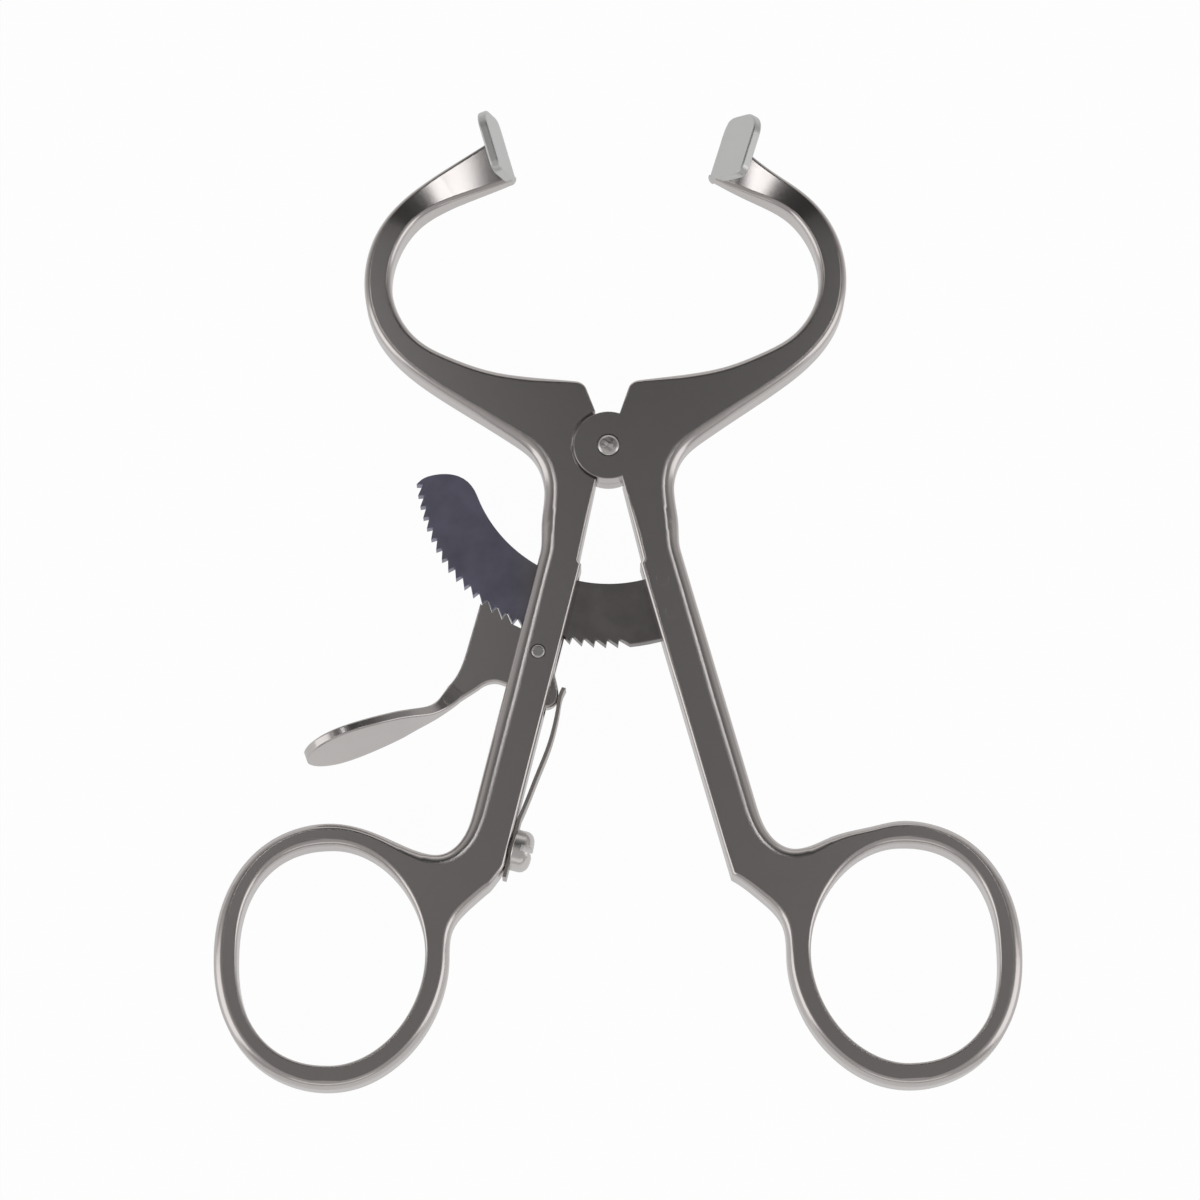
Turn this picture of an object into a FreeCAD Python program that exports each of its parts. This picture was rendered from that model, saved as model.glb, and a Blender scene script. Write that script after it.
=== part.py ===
import FreeCAD, Part
import math
import os

os.makedirs("parts", exist_ok=True)
V = FreeCAD.Vector

# Everything is in millimetres. The instrument lies flat, its faces square to Z, jaws towards +Y,
# rings towards -Y, and it is built round the pivot, which is moved off the origin at the end.

# Arms: one forging each, drawn for the right-hand side and mirrored for the left
armThickness = 5.2
shankWidth = 6.0
shankLean = 13.8          # degrees from the long axis, at the shown opening
shankOffset = 2.6         # from the pivot to the shank's middle line
shankTop = 17.0           # where the straight shank starts, along its middle line
shankFoot = 54.0          # where its outer edge runs out into the ring
heelBelowFoot = 9.0       # where its inner edge ends in the heel corner
innerStep = 0.5           # the shank's inner face stands this far out of the neck above it
rightArmTurn = 2.0        # degrees: the right arm stands this much wider than the left
edgeRound = 0.8

# Hub: each arm is halved there, the right one in front
hubRadius = 4.9
hubGap = 0.4              # round each half disc
lapGap = 0.06             # between the two half discs
cheekReach = 8.9          # from the pivot to the outer edge beside it
notchLean = 20.4          # degrees between the long axis and the edge of the upper notch
notchReach = 9.9          # along that edge, from the pivot to the corner
cornerReach = 1.1         # the corner is rounded from this far on both sides

# Jaw: middle line and width of the flat bar, from the hub to the end of its flat part
jawRun = ((12.2, 5.8), (17.6, 7.9), (23.5, 10.85), (27.5, 13.55), (30.8, 17.6),
          (32.4, 23.8), (31.1, 30.1), (27.7, 34.8))
jawWidths = (9.1, 6.6, 5.0, 4.2, 4.0, 3.8, 3.85, 3.8)

# End of the jaw: thinner, wider and rising to the pad
tipMiddle = (22.7, 38.0)
tipWidths = (4.7, 7.0)
tipThicknesses = (3.9, 2.2)
tipRises = (0.6, 2.9)

# Pad: a plate bent up across the end of the jaw; each of the two was bent by hand
leftPadPlace = (13.6, 43.55)
rightPadPlace = (16.3, 43.4)
leftPadTurn = 16.0        # degrees between the pad and the long axis
rightPadTurn = 19.0
leftPadLean = 16.0        # degrees by which it leans outwards
rightPadLean = 33.0
padWidth = 9.7
padDepth = 8.8
padThickness = 1.3
padOverhang = 1.45        # the bar meets it this far from its middle, on the side of the hub
padFarRound = 3.0
padLowRound = 1.5
padHighRound = 3.2
padBend = 1.1             # radius of the bend at its foot
padSink = 0.5             # into the end of the bar
serrationPitch = 1.1
serrationDepth = 0.3

# Finger ring
ringFromFoot = (22.194, -19.979)  # the hole's middle, from the foot of the shank's middle line
holeHalfWidth = 12.75
holeHalfLength = 15.1
rightRingDrop = 1.0       # the right ring was bent this much lower
ringBar = 3.2
outsideFullness = 2.3     # exponent of the half of the hole that faces away from the shank
rimFullness = 2.15        # the same for the outside of the ring
insideFullness = 1.9

# Pivot pin
pivotPinRadius = 1.5
pinRunningGap = 0.04
pivotDome = 0.3

# Rack, by radius and by angle from the straight-down line, growing towards the left arm
rackThickness = 1.9
rackInnerRadius = 19.5
rackTipRadius = 28.3
toothDepth = 1.05
toothPitch = 3.4
flankLean = 0.4           # degrees from a tooth's root to its tip on the steep side
firstTip = -6.05
toothCount = 26
rackRootAngle = -25.5
rackEndRound = 3.6
evenTeethEnd = 52.0       # beyond this angle the teeth stand lower
toothFall = 0.04          # by this much for each degree
rackRivetRadius = 0.9
rackRivetShares = (0.125, 0.67)  # how far out they lie between its inner edge and its tips

# Pawl lever and its pin
pawlThickness = 2.0
slotGap = 0.2             # on each side of the pawl in its slot
slotRunOut = 0.5          # past the rack's inner edge and the lever's tail
pawlPinAngle = 18.21      # degrees, as on the rack
pawlPinClearance = 1.775  # from the rack's tips to the pin
pawlPinRadius = 1.0
pawlMesh = 0.27           # radial clearance in the teeth, least at the far one
pawlMeshRise = 0.06       # added to that for each tooth nearer the pin
pawlBackstep = 0.42       # degrees between the steep flanks of the rack and the pawl
pawlTeeth = 3
pawlTailLength = 7.6
pawlTailReach = 2.75      # from the pin's axis to the tail's inner face
paddleFromPin = (-14.89, -8.28)
paddleAngle = 20.0        # degrees below the cross line
paddleLength = 18.1
paddleHeight = 12.2
paddleThickness = 1.3
paddleLean = 5.0
# Neck between plate and paddle: place from the paddle's start, degrees below the cross line,
# width and height; it turns from the flat of the plate to the upright of the paddle
neckRun = ((4.9, 4.5, 47, 3.2, 2.0), (3.5, 2.9, 48, 2.5, 2.2), (1.9, 1.25, 40, 1.8, 3.3),
           (-0.56, -0.2, 20, 1.3, 5.3))

# Leaf spring and its screw
springThickness = 0.55
springWidth = 3.2
springSeatPlaces = (0.4, 8.8)  # ends of its flat foot, above the heel
springSeatGap = 0.055     # under the flat foot
springTipBelowPin = 3.9   # where it ends, along the shank
# Middle line of the bent strip: share of the way from its foot to its end, distance off the shank
springBend = ((0.155, 0.8), (0.301, 1.15), (0.451, 1.55), (0.58, 1.82), (0.705, 1.88), (0.839, 1.76),
              (0.933, 1.64), (1.0, 1.85))
screwAboveHeel = 4.7
screwHeadRadius = 2.85
screwHeadHeight = 2.5
screwHeadRound = 0.7
screwSlotWidth = 0.8
screwSlotDepth = 1.1
screwShankRadius = 1.2
screwShankLength = 4.4


def rad(degrees):
    return math.radians(degrees)


def polar(radius, degrees):
    """A point by its distance from the pivot and its angle from straight down, towards the left."""
    return (-radius * math.sin(rad(degrees)), -radius * math.cos(rad(degrees)))


def spline(points, start=None, end=None):
    curve = Part.BSplineCurve()
    places = [V(p[0], p[1], 0) for p in points]
    if start:
        curve.interpolate(Points=places, InitialTangent=V(*start, 0), FinalTangent=V(*end, 0),
                          Scale=False)
    else:
        curve.interpolate(Points=places)
    return curve.toShape()


def aim(a, b):
    """The direction from one point to another, of unit length."""
    length = math.hypot(b[0] - a[0], b[1] - a[1])
    return ((b[0] - a[0]) / length, (b[1] - a[1]) / length)


def cornerArc(corner, back, ahead, reach):
    """An arc that rounds a corner off, touching both its sides at the given distance from it."""
    half = math.acos(back[0] * ahead[0] + back[1] * ahead[1]) / 2
    middle = (back[0] + ahead[0], back[1] + ahead[1])
    depth = reach * (1 / math.cos(half) - math.tan(half)) / math.hypot(*middle)
    start = V(corner[0] + back[0] * reach, corner[1] + back[1] * reach, 0)
    end = V(corner[0] + ahead[0] * reach, corner[1] + ahead[1] * reach, 0)
    through = V(corner[0] + middle[0] * depth, corner[1] + middle[1] * depth, 0)
    return Part.Arc(start, through, end).toShape(), (start.x, start.y), (end.x, end.y)


def line(a, b):
    return Part.makeLine(V(a[0], a[1], 0), V(b[0], b[1], 0))


def slab(wires, low, high):
    face = Part.Face(wires)
    face.translate(V(0, 0, low))
    return face.extrude(V(0, 0, high - low))


def polygonSlab(points, low, high):
    wire = Part.makePolygon([V(x, y, 0) for x, y in list(points) + [points[0]]])
    return slab([wire], low, high)


def rod(radius, low, high, place=(0, 0)):
    return Part.makeCylinder(radius, high - low, V(place[0], place[1], low))


def shankFrame():
    """Direction down the shank and direction from it to the inner side, on the right-hand side."""
    down = (math.sin(rad(shankLean)), -math.cos(rad(shankLean)))
    inward = (-math.cos(rad(shankLean)), -math.sin(rad(shankLean)))
    return down, inward


def onShank(along, inward=0.0):
    """A point beside the shank's middle line, on the right-hand side."""
    down, across = shankFrame()
    return (down[0] * along + across[0] * (inward - shankOffset),
            down[1] * along + across[1] * (inward - shankOffset))


def jawSides():
    """The two edges of the jaw's flat bar, worked out from its middle line and widths."""
    outer, inner = [], []
    last = len(jawRun) - 1
    for i, (x, y) in enumerate(jawRun):
        ax, ay = jawRun[max(i - 1, 0)]
        bx, by = jawRun[min(i + 1, last)]
        length = math.hypot(bx - ax, by - ay)
        nx, ny = (by - ay) / length, -(bx - ax) / length
        half = jawWidths[i] / 2
        outer.append((x + nx * half, y + ny * half))
        inner.append((x - nx * half, y - ny * half))
    return outer, inner


def ringPoint(grow, degrees, drop):
    """A point of the ring's hole, or of its outside when grown by the bar; 0 is the side away."""
    c, s = math.cos(rad(degrees)), math.sin(rad(degrees))
    awayFullness = rimFullness if grow else outsideFullness
    power = 2 / (awayFullness if c > 0 else insideFullness)
    x = (holeHalfWidth + grow) * math.copysign(abs(c) ** power, c)
    y = (holeHalfLength + grow) * math.copysign(abs(s) ** power, s)
    footX, footY = onShank(shankFoot)
    return (footX + ringFromFoot[0] + x, footY + ringFromFoot[1] + y - drop)


def ringHole(drop):
    curve = Part.BSplineCurve()
    steps = 24
    places = [V(*ringPoint(0, 7.5 + 360 * i / steps, drop), 0) for i in range(steps)]
    curve.interpolate(Points=places, PeriodicFlag=True)
    return Part.Wire(curve.toShape())


def armOutline(drop):
    """The flat outline of an arm: jaw, cheek, shank and ring in one closed wire, with half the hub."""
    down, across = shankFrame()
    outer, inner = jawSides()
    edge = shankWidth / 2
    neckTop = onShank(shankTop, -edge)
    foot = onShank(shankFoot, -edge)
    heel = onShank(shankFoot + heelBelowFoot, edge)
    stepLow = onShank(shankTop + innerStep, edge)
    stepHigh = onShank(shankTop, edge - innerStep)
    cheek = [(cheekReach + 1.5, -1.4), (cheekReach, -6.2), (cheekReach + 0.4, -11.3)]
    edges = [spline(outer[::-1] + cheek + [neckTop], aim(outer[-1], outer[-2]), down),
             line(neckTop, foot)]
    crotch = [(foot[0] + 1.9, foot[1] - 4.8), (foot[0] + 4.4, foot[1] - 6.6),
              (foot[0] + 7.1, foot[1] - 6.4), (foot[0] + 10.2, foot[1] - 5.2)]
    rim = [ringPoint(ringBar, a, drop) for a in range(105, -181, -15)]
    edges.append(spline([foot] + crotch + rim, down, (0, 1)))
    heelRun = [rim[-1], (heel[0] + 6.6, heel[1] - 6.6), (heel[0] + 3.6, heel[1] - 2.9), heel]
    edges.append(spline(heelRun, (0, 1), (-0.85, 0.5)))
    edges += [line(heel, stepLow), line(stepLow, stepHigh)]
    hubLow = polar(hubRadius, -notchLean)
    hubHigh = (hubRadius * math.sin(rad(notchLean)), hubRadius * math.cos(rad(notchLean)))
    corner = (notchReach * math.sin(rad(notchLean)), notchReach * math.cos(rad(notchLean)))
    edges.append(line(stepHigh, hubLow))
    edges.append(Part.Arc(V(*hubLow, 0), V(-hubRadius, 0, 0), V(*hubHigh, 0)).toShape())
    along = aim(corner, inner[0])
    arc, arcStart, arcEnd = cornerArc(corner, aim(corner, hubHigh), along, cornerReach)
    edges += [line(hubHigh, arcStart), arc]
    edges.append(spline([arcEnd] + inner, along, aim(inner[-2], inner[-1])))
    edges.append(line(inner[-1], outer[-1]))
    return Part.Wire(edges)


def roundedSlab(drop):
    """The flat part of an arm with its face edges rounded, apart from those of the hub."""
    half = armThickness / 2
    body = slab([armOutline(drop), ringHole(drop)], -half, half)
    wanted = []
    for e in body.Edges:
        low, high = e.BoundBox.ZMin, e.BoundBox.ZMax
        flat = high - low < 0.01 and abs(abs(low) - half) < 0.01
        middle = e.valueAt((e.FirstParameter + e.LastParameter) / 2)
        nearHub = math.hypot(middle.x, middle.y) < cheekReach
        atTip = math.hypot(middle.x - jawRun[-1][0], middle.y - jawRun[-1][1]) < 0.01
        if flat and not nearHub and not atTip:
            wanted.append(e)
    return body.makeFillet(edgeRound, wanted)


def tipSection(place, ahead, width, thickness, rise):
    """A section across the end of the jaw, as a closed wire of four corners."""
    length = math.hypot(*ahead)
    nx, ny = -ahead[1] / length * width / 2, ahead[0] / length * width / 2
    low, high = rise - thickness / 2, rise + thickness / 2
    corners = [V(place[0] + nx, place[1] + ny, low), V(place[0] - nx, place[1] - ny, low),
               V(place[0] - nx, place[1] - ny, high), V(place[0] + nx, place[1] + ny, high)]
    return Part.makePolygon(corners + [corners[0]])


def jawTip(padPlace, turn):
    """The rising end of the jaw, from the end of the flat bar to the pad."""
    end = (padPlace[0] + math.cos(rad(turn)) * padThickness - math.sin(rad(turn)) * padOverhang,
           padPlace[1] - math.sin(rad(turn)) * padThickness - math.cos(rad(turn)) * padOverhang)
    places = [jawRun[-1], tipMiddle, end]
    widths = (jawWidths[-1],) + tipWidths
    thicknesses = (armThickness,) + tipThicknesses
    rises = (0,) + tipRises
    padWay = (-math.cos(rad(turn)), math.sin(rad(turn)))
    aheads = [(jawRun[-1][0] - jawRun[-2][0], jawRun[-1][1] - jawRun[-2][1]),
              (places[2][0] - places[0][0], places[2][1] - places[0][1]), padWay]
    sections = [tipSection(*each) for each in zip(places, aheads, widths, thicknesses, rises)]
    return Part.makeLoft(sections, True, False)


def padFrame(padPlace, turn, lean):
    """Directions along the pad, up it and through it, and the foot of its outer face."""
    side = V(math.sin(rad(turn)), math.cos(rad(turn)), 0)
    up = V(math.cos(rad(turn)) * math.sin(rad(lean)),
           -math.sin(rad(turn)) * math.sin(rad(lean)), math.cos(rad(lean)))
    inward = side.cross(up) * -1
    foot = V(padPlace[0], padPlace[1], tipRises[-1] - tipThicknesses[-1] / 2)
    return side, up, inward, foot - inward * (padThickness + padSink)


def pastPad(padPlace, turn, lean):
    """What lies past the pad's inner face, where the bar's end is trimmed flush with it."""
    side, up, inward, foot = padFrame(padPlace, turn, lean)
    face = foot + inward * padThickness
    corners = [face + side * a * padWidth + up * b * padDepth for a, b in ((-1, -1), (1, -1), (1, 1), (-1, 1))]
    return Part.Face(Part.makePolygon(corners + corners[:1])).extrude(inward * armThickness)


def pad(padPlace, turn, lean):
    """The plate across the jaw's end, with fine grooves on the face that bears on the teeth."""
    side, up, inward, foot = padFrame(padPlace, turn, lean)
    half = padWidth / 2

    def at(across, high):
        return foot + side * across + up * high

    def corner(across, high, acrossSign, highSign, radius):
        k = radius * (1 - math.sqrt(0.5))
        ends = [at(across, high - highSign * radius), at(across - acrossSign * radius, high)]
        arc = Part.Arc(ends[0], at(across - acrossSign * k, high - highSign * k), ends[1])
        return arc.toShape(), ends

    farArc, far = corner(half, 0, 1, -1, padFarRound)
    highArc, high = corner(half, padDepth, 1, 1, padHighRound)
    lowArc, low = corner(-half, padDepth, -1, 1, padLowRound)
    edges = [Part.makeLine(at(-half, 0), far[1]), farArc, Part.makeLine(far[0], high[0]), highArc,
             Part.makeLine(high[1], low[1]), lowArc, Part.makeLine(low[0], at(-half, 0))]
    plate = Part.Face(Part.Wire(edges)).extrude(inward * padThickness)
    bend = at(-half / 2, 0) + inward * padThickness
    plate = plate.makeFillet(padBend, [e for e in plate.Edges if e.distToShape(Part.Vertex(bend))[0] < 0.01])
    grooveStart = tipThicknesses[-1] + 2 * serrationPitch
    count = int((padDepth - grooveStart - serrationPitch / 2) / serrationPitch)
    for i in range(count):
        high = grooveStart + i * serrationPitch
        corners = [at(-padWidth, high - serrationDepth) - inward * 0.01,
                   at(-padWidth, high + serrationDepth) - inward * 0.01,
                   at(-padWidth, high) + inward * serrationDepth]
        groove = Part.Face(Part.makePolygon(corners + [corners[0]])).extrude(side * 2 * padWidth)
        plate = plate.cut(groove)
    return plate


def halving(inFront):
    """What is cut from an arm at the hub, so that the other arm's half disc has room."""
    half = armThickness / 2
    if inFront:
        return rod(hubRadius + hubGap, -half - 1, lapGap / 2)
    return rod(hubRadius + hubGap, -lapGap / 2, half + 1)


def arm(inFront):
    """One arm on the right-hand side. The half disc in its own layer passes the other's edge."""
    half = armThickness / 2
    low, high = (lapGap / 2, half) if inFront else (-half, -lapGap / 2)
    drop = rightRingDrop if inFront else 0
    padPlace = rightPadPlace if inFront else leftPadPlace
    turn = rightPadTurn if inFront else leftPadTurn
    lean = rightPadLean if inFront else leftPadLean
    tip = jawTip(padPlace, turn).cut(pastPad(padPlace, turn, lean))
    body = roundedSlab(drop).fuse([tip, pad(padPlace, turn, lean)]).cut(halving(inFront))
    return body.fuse(rod(hubRadius, low, high)).removeSplitter()


def place(shape, isLeft):
    if isLeft:
        return shape.mirror(V(0, 0, 0), V(1, 0, 0))
    turned = shape.copy()
    turned.rotate(V(0, 0, 0), V(0, 0, 1), rightArmTurn)
    return turned


def leftPoint(along, inward=0.0):
    """A point beside the left arm's shank."""
    x, y = onShank(along, inward)
    return (-x, y)


def sector(inner, outer, start, end, low, high):
    """Part of a flat ring round the pivot, between two angles."""
    middle = (start + end) / 2
    a, b = polar(inner, start), polar(inner, end)
    c, d = polar(outer, end), polar(outer, start)
    edges = [Part.Arc(V(*a, 0), V(*polar(inner, middle), 0), V(*b, 0)).toShape(), line(b, c),
             Part.Arc(V(*c, 0), V(*polar(outer, middle), 0), V(*d, 0)).toShape(), line(d, a)]
    return slab([Part.Wire(edges)], low, high)


def pawlPinPlace():
    return polar(rackTipRadius + pawlPinClearance + pawlPinRadius, pawlPinAngle)


def slotInLeftArm():
    """The slot through the left shank that the rack runs in and the pawl swings in."""
    half = pawlThickness / 2 + slotGap
    farEnd = math.hypot(*pawlPinPlace()) + pawlTailLength + slotRunOut
    return sector(rackInnerRadius - slotRunOut, farEnd, -8, 45, -half, half)


def rackRoot():
    """The blind slot in the right shank that holds the rack's root."""
    half = rackThickness / 2
    return sector(rackInnerRadius, rackTipRadius, rackRootAngle, -5, -half, half)


def rivetPlaces():
    spots = []
    for share in rackRivetShares:
        distance = rackInnerRadius + share * (rackTipRadius - rackInnerRadius)
        x, y = onShank(distance, shankWidth * 0.12)
        turn = rad(rightArmTurn)
        spots.append((x * math.cos(turn) - y * math.sin(turn), x * math.sin(turn) + y * math.cos(turn)))
    return spots


def pivotPin():
    """A plain rivet with a low dome on each side."""
    top = armThickness / 2 + pivotDome
    ball = (pivotPinRadius ** 2 + pivotDome ** 2) / (2 * pivotDome)
    pin = rod(pivotPinRadius, -top, top)
    for side in (-1, 1):
        pin = pin.common(Part.makeSphere(ball, V(0, 0, side * (top - ball))))
    return pin


def rack():
    """The toothed bar: steep flanks face the right arm, so the pawl stops the jaws closing."""
    outside = [polar(rackTipRadius, rackRootAngle + i * (firstTip - rackRootAngle) / 5) for i in range(6)]
    for i in range(1, toothCount):
        tip = firstTip + i * toothPitch
        reach = rackTipRadius - toothFall * max(0, tip - evenTeethEnd)
        outside += [polar(reach - toothDepth, tip - flankLean), polar(reach, tip)]
    last = firstTip + (toothCount - 1) * toothPitch
    endAngle = last + 1.2
    turn = math.degrees(rackEndRound / rackInnerRadius)
    wide = rackTipRadius - rackInnerRadius
    corners = [outside[-1]]
    for share, ahead in ((0.74, 0.4), (0.57, 0.9), (0.365, 0.5), (0.195, -1.1), (0, -turn)):
        corners.append(polar(rackInnerRadius + share * wide, endAngle + ahead))
    teeth = [line(a, b) for a, b in zip(outside, outside[1:])]
    start, middle = polar(rackInnerRadius, rackRootAngle), polar(rackInnerRadius, 25)
    inside = Part.Arc(V(*corners[-1], 0), V(*middle, 0), V(*start, 0)).toShape()
    wire = Part.Wire(teeth + [spline(corners), inside, line(start, outside[0])])
    return slab([wire], -rackThickness / 2, rackThickness / 2)


def pawlEdge():
    """The pawl's toothed edge, from its far corner towards the pin, in mesh with the rack."""
    root = rackTipRadius - toothDepth
    first = math.floor((39.6 - firstTip) / toothPitch)
    points = []
    for i in range(pawlTeeth):
        tip = firstTip + (first - i) * toothPitch
        mesh = pawlMesh + i * pawlMeshRise
        points += [polar(rackTipRadius + mesh, tip - pawlBackstep),
                   polar(root + mesh, tip - flankLean - pawlBackstep)]
    nearest = firstTip + (first - pawlTeeth) * toothPitch
    points.append(polar(rackTipRadius + pawlMesh, nearest))
    points.append(polar(rackTipRadius + pawlMesh, nearest - 3))
    return points


def pawlPlate():
    """The flat of the lever: toothed edge, boss round the pin, and the tail that the spring pushes."""
    px, py = pawlPinPlace()
    tailEnd = py - pawlTailLength
    edge = pawlEdge()
    boss = 2.6
    right = [(px + boss * 0.6, py + boss * 0.8), (px + boss, py), (px + pawlTailReach - 0.45, py - 2.4),
             (px + pawlTailReach, py - 4.9)]
    bottom = [(px + pawlTailReach - 0.45, tailEnd + 0.5), (px + 1.0, tailEnd), (px - 0.4, tailEnd + 1.0),
              (px - 2.4, py - 5.2), (px - 4.7, py - 4.2), (px - 5.7, py - 3.9), (px - 6.8, py - 4.0),
              (px - 8.2, py - 4.8)]
    startX, startY = px + paddleFromPin[0], py + paddleFromPin[1]
    neck = [(startX + 4.3, startY + 1.9), (startX + 2.4, startY + 3.6)]
    left = [(px - 11.5, py - 3.5), (px - 9.7, py + 1.1), (edge[0][0] - 0.25, edge[0][1] + 0.25)]
    half = pawlThickness / 2
    path = [line(a, b) for a, b in zip(edge, edge[1:])]
    path += [line(edge[-1], right[0]), spline(right + bottom), line(bottom[-1], neck[0]),
             line(neck[0], neck[1]), spline([neck[1]] + left), line(left[-1], edge[0])]
    return slab([Part.Wire(path)], -half, half)


def paddleShape():
    """The thumb piece: a leaf that stands across the lever, on a neck twisted out of the plate."""
    way = V(-math.cos(rad(paddleAngle)), -math.sin(rad(paddleAngle)), 0)
    square = V(0, 0, 1).cross(way)
    px, py = pawlPinPlace()
    start = V(px + paddleFromPin[0], py + paddleFromPin[1], 0)
    top = paddleHeight / 2
    shares = ((0, 0.42), (0.25, 0.72), (0.48, 0.93), (0.66, 1.0), (0.84, 0.87), (0.96, 0.46))
    upper = [start + way * (a * paddleLength) + V(0, 0, b * top) for a, b in shares]
    tip = start + way * paddleLength
    lower = [start + way * (a * paddleLength) - V(0, 0, b * top) for a, b in shares[::-1]]
    leafCurve = Part.BSplineCurve()
    leafCurve.interpolate(Points=upper + [tip] + lower)
    leafWire = Part.Wire([leafCurve.toShape(), Part.makeLine(lower[-1], upper[0])])
    leaf = Part.Face(leafWire)
    leaf.translate(square * (-paddleThickness / 2))
    leaf = leaf.extrude(square * paddleThickness)

    def section(x, y, angle, wide, high):
        side = V(math.sin(rad(angle)), -math.cos(rad(angle)), 0) * (wide / 2)
        up = V(0, 0, high / 2)
        centre = start + V(x, y, 0)
        corners = [centre + side + up, centre - side + up, centre - side - up, centre + side - up]
        return Part.makePolygon(corners + [corners[0]])

    neck = Part.makeLoft([section(*each) for each in neckRun], True, False)
    leaf.rotate(start, way, paddleLean)
    return leaf.fuse(neck)


def pawlLever():
    hole = rod(pawlPinRadius + pinRunningGap, -pawlThickness, pawlThickness, pawlPinPlace())
    return pawlPlate().fuse(paddleShape()).cut(hole).removeSplitter()


def leafSpring():
    """A bent strip: flat along the shank under the screw, then bowed out to the lever's tail."""
    edge = shankWidth / 2
    half = springThickness / 2
    heel = shankFoot + heelBelowFoot
    footEnd = heel - springSeatPlaces[1]
    px, py = pawlPinPlace()
    down = shankFrame()[0]
    tip = springTipBelowPin - px * down[0] + py * down[1]
    middle = [(heel - place, springSeatGap + half) for place in springSeatPlaces]
    middle += [(footEnd + share * (tip - footEnd), off) for share, off in springBend]
    near, far = [[leftPoint(place, edge + off + side) for place, off in middle] for side in (-half, half)]
    wire = Part.Wire([line(near[0], near[1]), spline(near[1:]), line(near[-1], far[-1]),
                      spline(far[:0:-1]), line(far[1], far[0]), line(far[0], near[0])])
    strip = slab([wire], -springWidth / 2, springWidth / 2)
    return strip.cut(screwAxisRod(screwShankRadius, -1, 2))


def screwAxisRod(radius, start, end):
    """A round bar on the screw's axis, by distance outwards from the shank's inner face."""
    place = shankFoot + heelBelowFoot - screwAboveHeel
    x, y = leftPoint(place, shankWidth / 2 + start)
    ox, oy = leftPoint(place, shankWidth / 2 + end)
    return Part.makeCylinder(radius, end - start, V(x, y, 0), V(ox - x, oy - y, 0))


def springScrew():
    """A slotted screw with a thick cheese head, holding the spring's foot to the shank."""
    t = springSeatGap + springThickness
    place = shankFoot + heelBelowFoot - screwAboveHeel
    head = screwAxisRod(screwHeadRadius, t, t + screwHeadHeight)
    rims = [e for e in head.Edges if e.Length > 3 * screwHeadRadius]
    outX, outY = leftPoint(place, shankWidth / 2 + t + screwHeadHeight)
    rim = min(rims, key=lambda e: e.BoundBox.Center.distanceToPoint(V(outX, outY, 0)))
    head = head.makeFillet(screwHeadRound, [rim])
    wide, deep = screwSlotWidth, screwSlotDepth
    corners = [leftPoint(place + a, shankWidth / 2 + t + screwHeadHeight + b)
               for a, b in ((-wide / 2, -deep), (wide / 2, -deep), (wide / 2, 1), (-wide / 2, 1))]
    head = head.cut(polygonSlab(corners, -2 * screwHeadRadius, 2 * screwHeadRadius))
    shank = screwAxisRod(screwShankRadius, -screwShankLength, t)
    return head.fuse(shank).removeSplitter()


def rightArm():
    half = armThickness
    body = place(arm(True), False)
    body = body.cut(rackRoot())
    body = body.cut(rod(pivotPinRadius, -half, half))
    for spot in rivetPlaces():
        body = body.cut(rod(rackRivetRadius, -half, half, spot))
    return body


def leftArm():
    half = armThickness
    body = place(arm(False), True)
    body = body.cut(slotInLeftArm())
    body = body.cut(rod(pivotPinRadius + pinRunningGap, -half, half))
    body = body.cut(rod(pawlPinRadius, -half, half, pawlPinPlace()))
    return body.cut(screwAxisRod(screwShankRadius, -screwShankLength, 1))


def rackRivets():
    half = armThickness / 2
    return Part.makeCompound([rod(rackRivetRadius, -half, half, spot) for spot in rivetPlaces()])


def toothedRack():
    body = rack()
    for spot in rivetPlaces():
        body = body.cut(rod(rackRivetRadius, -rackThickness, rackThickness, spot))
    return body


def pawlPin():
    half = armThickness / 2
    return rod(pawlPinRadius, -half, half, pawlPinPlace())


pieces = {
    "right_arm": rightArm(),
    "left_arm": leftArm(),
    "main_pivot_pin": pivotPin(),
    "toothed_rack": toothedRack(),
    "rack_rivets": rackRivets(),
    "pawl_lever": pawlLever(),
    "pawl_pin": pawlPin(),
    "leaf_spring": leafSpring(),
    "spring_screw": springScrew(),
}

# The origin is the middle of the footprint, on the surface that the instrument lies on
whole = Part.makeCompound(list(pieces.values())).optimalBoundingBox(False, False)
shift = V(-(whole.XMin + whole.XMax) / 2, -(whole.YMin + whole.YMax) / 2, -whole.ZMin)
for name, shape in pieces.items():
    shape.translate(shift)
    shape.exportStep("parts/" + name + ".step")
    print(name, "solids", len(shape.Solids), "volume", round(shape.Volume, 2), "valid", shape.isValid())
print("pivot at", tuple(round(c, 4) for c in shift))
print("pawl pin at", [round(a + b, 4) for a, b in zip(shift, pawlPinPlace())])
print("size", round(whole.XLength, 2), round(whole.YLength, 2), round(whole.ZLength, 2))
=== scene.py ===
import math
import bmesh
import bpy
import numpy as np
from mathutils import Matrix, Vector
from mathutils.geometry import tessellate_polygon


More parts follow.
